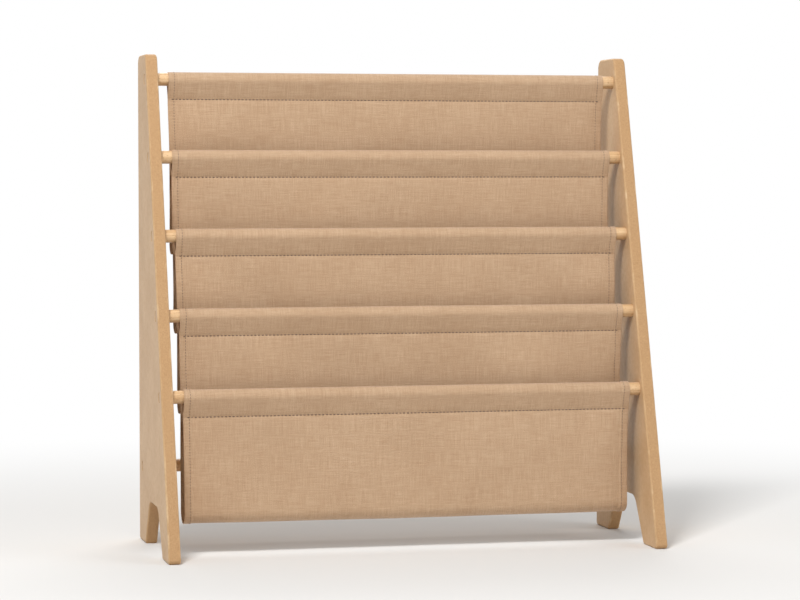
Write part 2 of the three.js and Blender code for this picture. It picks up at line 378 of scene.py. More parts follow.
class Shader:
    """One node tree, with a short call for each kind of node that the materials use. A value
    is a number, or the output of an earlier call."""

    def __init__(self, tree):
        self.tree = tree
        self.tree.nodes.clear()

    def add(self, kind, inputs=None, **settings):
        """A node of a kind, with its settings and then its inputs."""
        node = self.tree.nodes.new(kind)
        for name, value in settings.items():
            setattr(node, name, value)
        for key, value in (inputs or {}).items():
            socket = node.inputs[key]
            if isinstance(value, bpy.types.NodeSocket):
                self.tree.links.new(value, socket)
            else:
                socket.default_value = value
        return node

    def maths(self, operation, first, second=0.0):
        return self.add("ShaderNodeMath", {0: first, 1: second}, operation=operation).outputs[0]

    def chain(self, operation, values):
        """The operation carried on over all the values."""
        return functools.reduce(lambda first, second: self.maths(operation, first, second), values)

    def wave(self, value, length):
        """A sine wave over value, each wave of the given length."""
        return self.maths("SINE", self.maths("MULTIPLY", value, 2 * math.pi / length))

    def place(self):
        """A point's place in the piece's own axes."""
        return self.add("ShaderNodeTexCoord").outputs["Object"]

    def parts(self, vector):
        return self.add("ShaderNodeSeparateXYZ", {0: vector}).outputs

    def attribute(self, name, output="Fac"):
        return self.add("ShaderNodeAttribute", attribute_name=name).outputs[output]

    def noise(self, vector, feature, turn=0.0):
        """The noise of a feature, turned about X."""
        size = feature["size"]
        scale = size if isinstance(size, tuple) else (size, size, size)
        inputs = {"Vector": vector, "Scale": scale, "Rotation": (turn, 0, 0)}
        mapped = self.add("ShaderNodeMapping", inputs, vector_type="TEXTURE").outputs[0]
        return self.add("ShaderNodeTexNoise", {
            "Vector": mapped,
            "Scale": 1.0,
            "Detail": feature.get("detail", 2.0),
            "Roughness": feature.get("roughness", 0.5),
            "Distortion": feature.get("distortion", 0.0),
        }).outputs[0]

    def between(self, value, span, to=(0.0, 1.0)):
        """value, smoothly carried from one span to another."""
        inputs = {"Value": value, "From Min": span[0], "From Max": span[1]}
        inputs.update({"To Min": to[0], "To Max": to[1]})
        node = self.add("ShaderNodeMapRange", inputs, interpolation_type="SMOOTHSTEP")
        return node.outputs[0]

    def mix(self, share, first, second):
        """A mix of two colours, each an output or a screen's colour."""
        ends = [
            end if isinstance(end, bpy.types.NodeSocket) else linear(end)
            for end in (first, second)
        ]
        inputs = {0: share, MIX_FIRST: ends[0], MIX_SECOND: ends[1]}
        return self.add("ShaderNodeMix", inputs, data_type="RGBA").outputs[MIX_RESULT]

    def toned(self, value, tones, span=NOISE_SPAN):
        """A colour that goes from the first tone to the second over a span of value."""
        return self.mix(self.between(value, span), *tones)

    def layer(self, colour, value, feature):
        """The colour with a feature's own colour over it."""
        share = self.between(value, feature["span"], (0.0, feature["share"]))
        return self.mix(share, colour, feature["colour"])

    def relief(self, *layers):
        """A normal that is raised by each layer, a value and the height of its relief."""
        normal = None
        for value, height in layers:
            inputs = {"Height": value, "Distance": height, "Strength": 1.0}
            if normal is not None:
                inputs["Normal"] = normal
            normal = self.add("ShaderNodeBump", inputs).outputs[0]
        return normal

    def finish(self, shader, output="ShaderNodeOutputMaterial"):
        self.add(output, {"Surface": shader})

    def principled(self, inputs):
        self.finish(self.add("ShaderNodeBsdfPrincipled", inputs).outputs[0])


def material(name):
    made = bpy.data.materials.new(name)
    made.use_nodes = True
    return made, Shader(made.node_tree)


# World and floor


def seen_directly(shader):
    """1 for rays that show the background itself: the camera's, and those in gloss and glass."""
    path = shader.add("ShaderNodeLightPath").outputs
    kinds = ("Is Camera Ray", "Is Glossy Ray", "Is Transmission Ray")
    return shader.chain("MAXIMUM", [path[kind] for kind in kinds])


def make_world():
    world = bpy.data.worlds.new("studio")
    world.use_nodes = True
    shader = Shader(world.node_tree)
    strength = shader.maths("MAXIMUM", seen_directly(shader), AMBIENT)
    inputs = {"Color": linear(WHITE), "Strength": strength}
    background = shader.add("ShaderNodeBackground", inputs).outputs[0]
    shader.finish(background, "ShaderNodeOutputWorld")
    bpy.context.scene.world = world


def floor_material():
    """Matt near the shelf, where it takes the shadow, and as white as the background far out."""
    made, shader = material("floor")
    distance = shader.add("ShaderNodeVectorMath", {0: shader.place()}, operation="LENGTH")
    far = shader.between(distance.outputs["Value"], FLOOR_FADE_SPAN)
    faded = shader.maths("MULTIPLY", far, seen_directly(shader))
    matt = shader.add("ShaderNodeBsdfDiffuse", {"Color": linear(FLOOR_COLOUR)}).outputs[0]
    white = shader.add("ShaderNodeEmission", {"Color": linear(WHITE), "Strength": 1.0}).outputs[0]
    shader.finish(shader.add("ShaderNodeMixShader", {0: faded, 1: matt, 2: white}).outputs[0])
    return made


def make_floor():
    bm = bmesh.new()
    bmesh.ops.create_circle(bm, cap_ends=True, segments=FLOOR_SIDES, radius=FLOOR_RADIUS)
    mesh = bpy.data.meshes.new("floor")
    bm.to_mesh(mesh)
    bm.free()
    mesh.materials.append(floor_material())
    floor = bpy.data.objects.new("floor", mesh)
    floor.location.z = cad_box[0].z
    bpy.context.scene.collection.objects.link(floor)


make_world()
make_floor()


# Materials


def panel_material():
    """Compressed wood under a clear satin lacquer: short fibres lying flat every way on the
    faces, and a coarser, darker core on the cut edges. The attribute side is 1 on a cut, and
    edge is 1 along the middle of a rounded edge."""
    made, shader = material("compressed_wood")
    place = shader.place()
    side = shader.attribute("side")
    mottle = shader.noise(place, BOARD_MOTTLE)
    laid = [shader.noise(place, BOARD_FIBRE, turn) for turn in BOARD_FIBRE_TURNS]
    fibres = shader.chain("MAXIMUM", laid)
    grain = shader.noise(place, CORE_GRAIN)
    colour = shader.toned(shader.noise(place, BOARD_CLOUD), BOARD_TONES)
    colour = shader.layer(colour, mottle, BOARD_MOTTLE)
    colour = shader.layer(colour, fibres, BOARD_FIBRE)
    colour = shader.layer(colour, shader.noise(place, BOARD_FLECK), BOARD_FLECK)
    core = shader.toned(grain, CORE_TONES, CORE_GRAIN["span"])
    core_share = shader.between(side, CORE_SHOWS["span"], (0.0, CORE_SHOWS["share"]))
    colour = shader.mix(core_share, colour, core)
    rubbed = shader.between(shader.noise(place, BOARD_WEAR), BOARD_WEAR["span"])
    worn = shader.maths("MULTIPLY", rubbed, shader.attribute("edge"))
    shader.principled({
        "Base Color": shader.mix(worn, colour, BOARD_WEAR["colour"]),
        "Roughness": shader.between(shader.maths("ADD", side, mottle), **BOARD_ROUGHNESS),
        "Specular IOR Level": 0.2,
        "Coat Weight": 0.04,
        "Coat Roughness": 0.4,
        "Normal": shader.relief(
            (shader.noise(place, BOARD_PEEL), PEEL_HEIGHT),
            (shader.maths("MULTIPLY", grain, side), PORE_HEIGHT),
            (fibres, FIBRE_HEIGHT),
        ),
    })
    return made


def dowel_material():
    """Turned beech: long grain, growth rings that come and go, and short dark ray flecks."""
    made, shader = material("turned_beech")
    place = shader.place()
    grain = shader.noise(place, BEECH_GRAIN)
    colour = shader.toned(shader.noise(place, BEECH_RINGS), BEECH_TONES)
    colour = shader.layer(colour, grain, BEECH_GRAIN)
    shader.principled({
        "Base Color": shader.layer(colour, shader.noise(place, BEECH_RAYS), BEECH_RAYS),
        "Roughness": shader.between(grain, **BEECH_ROUGHNESS),
        "Specular IOR Level": 0.4,
        "Coat Weight": 0.15,
        "Coat Roughness": 0.3,
        "Normal": shader.relief((grain, BEECH_GRAIN_HEIGHT)),
    })
    return made


def cloth_material():
    """Plain-woven canvas of recycled yarn, each yarn a little lighter or darker than the next.
    The attribute flat holds each point's place on the cloth before it was hung. seam_pull and
    hem_pull are 1 at the stitched lines, where each stitch dents the cloth."""
    made, shader = material("recycled_canvas")
    flat = shader.attribute("flat", "Vector")
    x, along, _ = shader.parts(flat)
    over = shader.maths("MULTIPLY", *[shader.wave(part, 2 * YARN_PITCH) for part in (x, along)])
    weft = shader.noise(flat, WEFT_TONE)
    yarns = [
        shader.toned(tone, (YARN_DARK, YARN_PALE), YARN_TONE["span"])
        for tone in (weft, shader.noise(flat, WARP_TONE))
    ]
    bands = shader.maths("ADD", shader.noise(flat, WEFT_BAND), shader.noise(flat, WARP_BAND))
    slub = shader.noise(flat, SLUB)
    fuzz = shader.noise(flat, FUZZ)
    colour = shader.toned(over, yarns, WEAVE_SPAN)
    colour = shader.mix(YARN_EVENNESS, colour, YARN_MIDDLE)
    colour = shader.layer(colour, bands, DARK_BANDS)
    colour = shader.layer(colour, bands, PALE_BANDS)
    colour = shader.layer(colour, slub, SLUB)
    colour = shader.layer(colour, shader.noise(flat, CLOTH_PATCH), CLOTH_PATCH)
    # painted shade in the gaps between the yarns
    colour = shader.layer(colour, shader.maths("ABSOLUTE", over), WEAVE_GAP_SHADE)
    dents = [
        shader.maths("MULTIPLY", shader.wave(part, stitch["pitch"]), shader.attribute(name))
        for name, stitch, part in (("seam_pull", SEAM_STITCH, x), ("hem_pull", HEM_STITCH, along))
    ]
    shader.principled({
        "Base Color": colour,
        "Roughness": shader.between(fuzz, **CLOTH_ROUGHNESS),
        "Specular IOR Level": 0.25,
        "Sheen Weight": 0.25,
        "Sheen Roughness": 0.45,
        "Normal": shader.relief(
            (shader.chain("ADD", dents), DENT_HEIGHT),
            (over, WEAVE_HEIGHT),
            (shader.maths("ADD", weft, slub), YARN_HEIGHT),
            (fuzz, FUZZ_HEIGHT),
        ),
    })
    return made


def thread_material():
    """Heavy sewing thread, twisted from three plies."""
    made, shader = material("sewing_thread")
    place = shader.place()
    tone = shader.noise(place, THREAD_TONE)
    twist = shader.wave(shader.chain("ADD", shader.parts(place)), TWIST_LENGTH)
    colour = shader.toned(tone, THREAD_TONES)
    shader.principled({
        "Base Color": shader.layer(colour, twist, TWIST_SHADE),
        "Roughness": shader.between(tone, **THREAD_ROUGHNESS),
        "Sheen Weight": 0.2,
        "Normal": shader.relief((twist, TWIST_HEIGHT)),
    })
    return made


def cap_material():
    """Moulded plastic in the panel's colour, with a fine matt grain."""
    made, shader = material("moulded_cap")
    place = shader.place()
    grain = shader.noise(place, CAP_GRAIN)
    shader.principled({
        "Base Color": shader.toned(shader.noise(place, CAP_TONE), CAP_TONES),
        "Roughness": shader.between(grain, **CAP_ROUGHNESS),
        "Normal": shader.relief((grain, CAP_GRAIN_HEIGHT)),
    })
    return made


def metal_material(name, tones, roughness):
    """Turned and plated metal, with fine tool marks round its axis."""
    made, shader = material(name)
    place = shader.place()
    marks = shader.noise(place, TOOL_MARKS)
    shader.principled({
        "Base Color": shader.toned(shader.noise(place, STAIN), tones),
        "Metallic": 1.0,
        "Roughness": shader.between(marks, NOISE_SPAN, roughness),
        "Normal": shader.relief((marks, TOOL_MARK_HEIGHT)),
    })
    return made


BOARD_FINISH = panel_material()
DOWEL_FINISH = dowel_material()
CLOTH_FINISH = cloth_material()
THREAD_FINISH = thread_material()
CAP_FINISH = cap_material()
BOLT_FINISH = metal_material("zinc_plated_steel", **ZINC)
INSERT_FINISH = metal_material("turned_brass", **BRASS)


# Meshes


def piece_of_mesh(bm, name, finish, sharp):
    """The mesh as a piece of the shelf, with its faces turned outwards and smooth, apart from
    edges that are sharper than the given angle."""
    bmesh.ops.recalc_face_normals(bm, faces=bm.faces)
    for face in bm.faces:
        face.smooth = True
    for edge in bm.edges:
        edge.smooth = edge.is_manifold and edge.calc_face_angle() < sharp
    mesh = bpy.data.meshes.new(name)
    bm.to_mesh(mesh)
    bm.free()
    mesh.materials.append(finish)
    piece = bpy.data.objects.new(name, mesh)
    bpy.context.scene.collection.objects.link(piece)
    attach(piece, "root")
    return piece


def piece_of_points(name, points, faces, finish, sharp):
    bm = bmesh.new()
    corners = [bm.verts.new(point) for point in points]
    for face in faces:
        bm.faces.new([corners[i] for i in face])
    return piece_of_mesh(bm, name, finish, sharp)


def strip_faces(first, second):
    """Four-sided faces between two closed rings of corners, or of their numbers."""
    count = len(first)
    return [
        (first[i], first[(i + 1) % count], second[(i + 1) % count], second[i])
        for i in range(count)
    ]


def circle(place, radius, sides):
    """Points (y, z) round a place."""
    return [
        (place.y + radius * math.cos(angle), place.z + radius * math.sin(angle))
        for angle in np.linspace(0, 2 * math.pi, sides, endpoint=False)
    ]


def turned(name, profile, place, sides, finish):
    """A piece turned about a line along X through place, from (x, radius) points that start
    and end on the line."""
    points, faces, rings = [], [], []
    for x, radius in profile:
        around = circle(place, radius, sides if radius > 0 else 1)
        rings.append(range(len(points), len(points) + len(around)))
        points += [(x, y, z) for y, z in around]
    for first, second in zip(rings, rings[1:]):
        if len(first) == 1:
            faces += [(first[0], second[i], second[(i + 1) % sides]) for i in range(sides)]
        elif len(second) == 1:
            faces += [(second[0], first[i], first[(i + 1) % sides]) for i in range(sides)]
        else:
            faces += strip_faces(first, second)
    return piece_of_points(name, points, faces, finish, SHARP_TURNED)


# Side panels


def panel_corners():
    """The outline's corners as (y, z, radius), counter-clockwise from the toe."""
    low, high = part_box("side_panel_right")
    lean = math.atan2(high.y - low.y - PANEL_TOP_DEPTH, high.z - low.z)
    toe_half_angle = (math.pi / 2 - lean) / 2
    toe_y = low.y - PANEL_FOOT_RADIUS * (1 / math.tan(toe_half_angle) - 1)
    arch_y = ARCH_TOP_LENGTH / 2
    return [
        (toe_y, low.z, PANEL_FOOT_RADIUS),
        (low.y + FOOT_LENGTH, low.z, ARCH_FOOT_RADIUS),
        (-arch_y, low.z + ARCH_HEIGHT, ARCH_TOP_RADIUS),
        (arch_y, low.z + ARCH_HEIGHT, ARCH_TOP_RADIUS),
        (high.y - FOOT_LENGTH, low.z, ARCH_FOOT_RADIUS),
        (high.y, low.z, PANEL_FOOT_RADIUS),
        (high.y, high.z, PANEL_TOP_RADIUS),
        (high.y - PANEL_TOP_DEPTH, high.z, PANEL_TOP_RADIUS),
    ]


def rounded_corner(before, corner, after, inset):
    """Points (y, z) round a corner between its neighbours, drawn in by inset."""
    radius = corner[2]
    place = Vector(corner[:2])
    back = (Vector(before[:2]) - place).normalized()
    ahead = (Vector(after[:2]) - place).normalized()
    half = back.angle(ahead) / 2
    centre = place + (back + ahead).normalized() * (radius / math.sin(half))
    start = place + back * (radius / math.tan(half)) - centre
    bulge = 1 if ahead.x * back.y - ahead.y * back.x > 0 else -1
    sweep = bulge * (math.pi - 2 * half)
    reach = radius - bulge * inset
    first = math.atan2(start.y, start.x)
    count = math.ceil(abs(sweep) / OUTLINE_STEP)
    angles = [first + sweep * k / count for k in range(count + 1)]
    return [(centre.x + reach * math.cos(a), centre.y + reach * math.sin(a)) for a in angles]


def panel_outline(inset):
    """The outline as (y, z) points, drawn in by inset."""
    corners = panel_corners()
    after = corners[1:] + corners[:1]
    return [
        point
        for i, corner in enumerate(corners)
        for point in rounded_corner(corners[i - 1], corner, after[i], inset)
    ]


def board_ring(bm, x, points, edge=0.0, cut=0.0):
    """A closed ring of corners at x, with how far it is on a worn edge and on a cut."""
    ring = []
    for y, z in points:
        corner = bm.verts.new((x, y, z))
        corner[bm.verts.layers.float["edge"]] = edge
        corner[bm.verts.layers.float["side"]] = cut
        ring.append(corner)
    return ring


def edge_rings(bm, face_x, inwards):
    """Rings from a face of the board over its rounded edge. inwards is 1 or -1, the way from
    the face into the board."""
    rings = []
    for k in range(EDGE_STEPS + 1):
        share = k / EDGE_STEPS
        angle = math.pi / 2 * share
        outline = panel_outline(PANEL_EDGE_ROUND * (1 - math.sin(angle)))
        x = face_x + inwards * PANEL_EDGE_ROUND * (1 - math.cos(angle))
        rings.append(board_ring(bm, x, outline, math.sin(2 * angle), share))
    return rings


def hole_rings(bm, row, side, outer_x, inner_x):
    """Rings from the outer face to the inner one: a cap recess, a bolt hole and a socket."""
    recess = radius_of(f"{row}_bolt_cap_right") + FIT_CLEARANCE
    bolt_hole = BOLT_RADIUS + FIT_CLEARANCE
    socket = radius_of(f"{row}_dowel") + FIT_CLEARANCE
    profile = [
        (outer_x, recess + RIM_CHAMFER),
        (outer_x - RIM_CHAMFER, recess),
        (outer_x - RECESS_DEPTH, recess),
        (outer_x - RECESS_DEPTH, bolt_hole),
        (inner_x + SOCKET_DEPTH, bolt_hole),
        (inner_x + SOCKET_DEPTH, socket),
        (inner_x + RIM_CHAMFER, socket),
        (inner_x, socket + RIM_CHAMFER),
    ]
    place = centre_of(f"{row}_dowel")
    rings = []
    for x, radius in profile:
        cut = 0.0 if x in (outer_x, inner_x) else 1.0
        rings.append(board_ring(bm, side * x, circle(place, radius, HOLE_SIDES), cut=cut))
    return rings


def side_panel(name, side):
    """A board with rounded edges and a hole for each dowel, its bolt and its cap."""
    inner_x, outer_x = sorted(abs(corner.x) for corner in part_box(name))
    bm = bmesh.new()
    for mark in ("edge", "side"):
        bm.verts.layers.float.new(mark)
    over_outer_edge = edge_rings(bm, side * outer_x, -side)
    over_inner_edge = edge_rings(bm, side * inner_x, side)
    walls = [over_outer_edge + over_inner_edge[::-1]]
    walls += [hole_rings(bm, row, side, outer_x, inner_x) for row in ROWS]
    for rings in walls:
        for first, second in zip(rings, rings[1:]):
            for face in strip_faces(first, second):
                bm.faces.new(face)
    for end in (0, -1):
        borders = [rings[end] for rings in walls]
        edges = [
            bm.edges.get((first, second))
            for border in borders
            for first, second in zip(border, border[1:] + border[:1])
        ]
        bmesh.ops.triangle_fill(bm, edges=edges, use_beauty=True)
    piece = piece_of_mesh(bm, name + "_board", BOARD_FINISH, SHARP_BOARD)
    weighted = piece.modifiers.new("weighted_normals", "WEIGHTED_NORMAL")
    weighted.keep_sharp = True
    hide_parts(name)


# Dowels, caps, bolts and inserts


def dowel(row):
    """A rod, each of whose ends is bored for an insert and, deeper, for the tip of a bolt."""
    node = f"{row}_dowel"
    end_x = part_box(node)[1].x
    insert_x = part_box(f"{row}_insert_right")[0].x - FIT_CLEARANCE
    bolt_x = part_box(f"{row}_bolt_right")[0].x - BORE_BEYOND_BOLT
    radius = radius_of(node)
    insert_bore = radius_of(f"{row}_insert_right") + FIT_CLEARANCE
    bolt_bore = BOLT_RADIUS + FIT_CLEARANCE
    half = [
        (bolt_x, 0),
        (bolt_x, bolt_bore),
        (insert_x, bolt_bore),
        (insert_x, insert_bore),
        (end_x, insert_bore),
        (end_x, radius - DOWEL_CHAMFER),
        (end_x - DOWEL_CHAMFER, radius),
    ]
    profile = [(-x, r) for x, r in half] + half[::-1]
    piece = turned(f"{row}_rod", profile, centre_of(node), DOWEL_SIDES, DOWEL_FINISH)
    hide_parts(node)


def cap(row, side_name, side):
    """A disc with a rounded rim, a slight dome and a stub that plugs the bolt's drive."""
    node = f"{row}_bolt_cap_{side_name}"
    stub_x, outer_x = sorted(abs(corner.x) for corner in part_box(node))
    under_x = outer_x - CAP_THICKNESS
    radius = radius_of(node)
    profile = [(stub_x, 0), (stub_x, CAP_STUB_RADIUS), (under_x, CAP_STUB_RADIUS), (under_x, radius)]
    flat_radius = radius - CAP_ROUND
    rim_x = outer_x - CAP_DOME
    for k in range(EDGE_STEPS + 1):
        angle = math.pi / 2 * k / EDGE_STEPS
        x = rim_x - CAP_ROUND * (1 - math.sin(angle))
        profile.append((x, flat_radius + CAP_ROUND * math.cos(angle)))
    for k in range(1, EDGE_STEPS + 1):
        share = 1 - k / EDGE_STEPS
        profile.append((outer_x - CAP_DOME * share ** 2, flat_radius * share))
    mirrored = [(side * x, r) for x, r in profile]
    piece = turned(f"{row}_cap_{side_name}", mirrored, centre_of(node), HOLE_SIDES, CAP_FINISH)
    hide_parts(node)


def refinish(node, finish):
    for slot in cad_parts[node].material_slots:
        slot.material = finish


# Sewn cover


def smooth(value):
    share = np.clip(value, 0, 1)
    return share * share * (3 - 2 * share)


def noise(x, y, seed):
    """Smooth noise from -1 to 1, with about one feature in each unit square."""
    size = NOISE_TABLE_SIZE
    table = np.random.default_rng(seed).uniform(-1, 1, (size, size))
    column, line = np.floor(x).astype(int), np.floor(y).astype(int)
    right, up = smooth(x - column), smooth(y - line)

    def at(i, j):
        return table[(column + i) % size, (line + j) % size]

    lower = at(0, 0) * (1 - right) + at(1, 0) * right
    upper = at(0, 1) * (1 - right) + at(1, 1) * right
    return lower * (1 - up) + upper * up


def rough_noise(x, y, seed):
    """Smooth noise with a finer one on it."""
    finer = noise(FINER * x, FINER * y, seed + 1)
    return (noise(x, y, seed) + FINER_SHARE * finer) / (1 + FINER_SHARE)


DOWELS = [centre_of(f"{row}_dowel") for row in FRONT_ROWS]
SEAM_HEIGHTS = np.array([centre_of(f"{row}_seam_thread").z for row in FRONT_ROWS])
LOWEST = len(FRONT_ROWS) - 1
CLOTH_HALF_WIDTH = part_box("top_sleeve")[1].x
DOWEL_RADIUS = radius_of("top_dowel")
LOOP_RADIUS = DOWEL_RADIUS + SLEEVE_CLEARANCE + CLOTH_THICKNESS / 2


def path_point(y, z, layer, row, pocket=0, share=0.0):
    """A point of the cloth's middle line. It moves as the cloth at a row's seam does, and by a
    share as at the next row's. layer is -1 in front and 1 at the rear, or 0 where the two
    are one, and pocket is the one that the point is part of."""
    return {"y": y, "z": z, "layer": layer, "row": row, "pocket": pocket, "share": share}


def stepped(length, step):
    """Distances from a seam, short of the given length: close together at first, and then
    about a step apart."""
    near = [distance for distance in NEAR_SEAM_STEPS if distance < length]
    count = math.ceil((length - near[-1]) / step)
    return near + list(np.linspace(near[-1], length, count, endpoint=False))[1:]


def leg(row, layer, low, pocket=0, downwards=True):
    """Points down a hanging layer from a row's seam to the height low, or up it."""
    seam = SEAM_HEIGHTS[row]
    y = DOWELS[row].y + layer * LAYER_OFFSET
    steps = [0, *stepped(seam - low, LEG_STEP)]
    points = [path_point(y, seam - step, layer, row, pocket) for step in steps]
    return points if downwards else points[::-1]


def loop(row, layer):
    """Points round a dowel, from just above the seam on one layer to the same on the other."""
    middle_z = DOWELS[row].z - SLEEVE_DROP
    height = middle_z - SEAM_HEIGHTS[row]
    reach = math.hypot(LAYER_OFFSET, height)
    start = Vector((layer * LAYER_OFFSET, -height))
    tangent = math.acos(LOOP_RADIUS / reach)
    first = math.atan2(-height, LAYER_OFFSET) + tangent
    last = math.pi - first
    count = math.ceil((last - first) / LOOP_STEP)
    arc = [
        Vector((layer * LOOP_RADIUS * math.cos(angle), LOOP_RADIUS * math.sin(angle)))
        for angle in np.linspace(first, last, count + 1)
    ]
    straight = (arc[0] - start).length
    rise = [start.lerp(arc[0], step / straight) for step in stepped(straight, LOOP_SIDE_STEP)]
    fall = [Vector((-point.x, point.y)) for point in rise[::-1]]
    return [
        path_point(DOWELS[row].y + point.x, middle_z + point.y, side, row)
        for part, side in ((rise, layer), (arc, 0), (fall, -layer))
        for point in part
    ]


def fold(pocket, back_y, front_y, bottom):
    """Points round the bottom of a pocket, from its back to its front."""
    radius = (back_y - front_y) / 2
    count = math.ceil(math.pi / FOLD_STEP)
    points = []
    for angle in np.linspace(0, -math.pi, count + 1):
        y = (back_y + front_y) / 2 + radius * math.cos(angle)
        z = bottom + radius + radius * math.sin(angle)
        share = float(smooth(-angle / math.pi))
        points.append(path_point(y, z, 0, pocket - 1, pocket, share))
    return points


def cover_path():
    """The cloth's middle line in (y, z), from the hem at the top to the hem at the bottom. It
    goes over the dowels from behind, except the lowest one, which it goes over from the
    front."""
    path = leg(0, 1, SEAM_HEIGHTS[0] - FLAP_LENGTH, downwards=False) + loop(0, 1)
    for pocket in range(1, LOWEST + 1):
        front_layer = -1 if pocket == LOWEST else 1
        back_y = DOWELS[pocket - 1].y - LAYER_OFFSET
        front_y = DOWELS[pocket].y + front_layer * LAYER_OFFSET
        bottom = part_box(f"pocket_{pocket}_sling")[0].z + CLOTH_THICKNESS
        fold_top = bottom + (back_y - front_y) / 2
        path += leg(pocket - 1, -1, fold_top, pocket)
        path += fold(pocket, back_y, front_y, bottom)
        path += leg(pocket, front_layer, fold_top, pocket, downwards=False)
        path += loop(pocket, front_layer)
    return path + leg(LOWEST, 1, SEAM_HEIGHTS[LOWEST] - FLAP_LENGTH)


def cover_columns():
    """Where the cloth's columns of points stand, closer together near its side hems."""
    inner = CLOTH_HALF_WIDTH - HEM_WIDTH - HEM_STEP
    middle = np.linspace(-inner, inner, 2 * math.ceil(inner / COLUMN_STEP) + 1)
    left = [HEM_WIDTH * share - CLOTH_HALF_WIDTH for share in HEM_COLUMN_SHARES]
    return np.array([*left, *middle, *[-x for x in left[::-1]]])


def from_edge(x):
    """How far in a place across the cloth is from the nearer side."""
    return CLOTH_HALF_WIDTH - np.abs(x)


def hem_share(x):
    """1 on the turned hems at the sides, 0 inside them."""
    return 1 - smooth((from_edge(x) - HEM_WIDTH) / HEM_STEP + 1 / 2)


def stand_out(row, x, depth):
    """How far the layers that hang from a row's seam stand back from their plane, depth
    metres below the seam. Both layers of a row move alike, so they never cross."""
    seed = ROW_SEED_STEP * (row + 1)
    below = np.clip(depth, 0, None)
    settled = smooth(below / BROAD_SETTLES)
    broad = rough_noise(x / BROAD_WIDTH + BROAD_START, below / BROAD_HEIGHT, seed + BROAD_SEED)
    reach = np.where(depth > 0, GATHER_REACH, GATHER_REACH_ABOVE)
    fade = 1 - smooth(np.abs(depth) / reach)
    gathers = rough_noise(x / GATHER_WIDTH + GATHER_START, below / GATHER_REACH, seed + GATHER_SEED)
    edge = np.where(x < 0, EDGE_STARTS["left"], EDGE_STARTS["right"])
    curl = noise(edge, below / EDGE_CURL_LENGTH, seed + CURL_SEED)
    near_edge = smooth(1 - from_edge(x) / EDGE_CURL_REACH) ** 2
    pucker = noise(edge, below / HEM_PUCKER_LENGTH, seed + PUCKER_SEED)
    hanging = BROAD_WAVE * broad + EDGE_CURL * near_edge * curl + HEM_PUCKER * hem_share(x) * pucker
    return settled * hanging + GATHER * fade * gathers


def sink(x, low_share):
    """How far the cloth hangs below its straight line, where low_share goes from 0 at a
    pocket's seams to 1 at its bottom fold."""
    start_x, start_y = BOTTOM_START
    sag = BOTTOM_SAG * (1 - (x / CLOTH_HALF_WIDTH) ** 2)
    place = x / BOTTOM_WAVE_WIDTH + start_x
    wave = BOTTOM_WAVE * noise(place, np.full_like(x, start_y), BOTTOM_SEED)
    return (sag + wave) * low_share


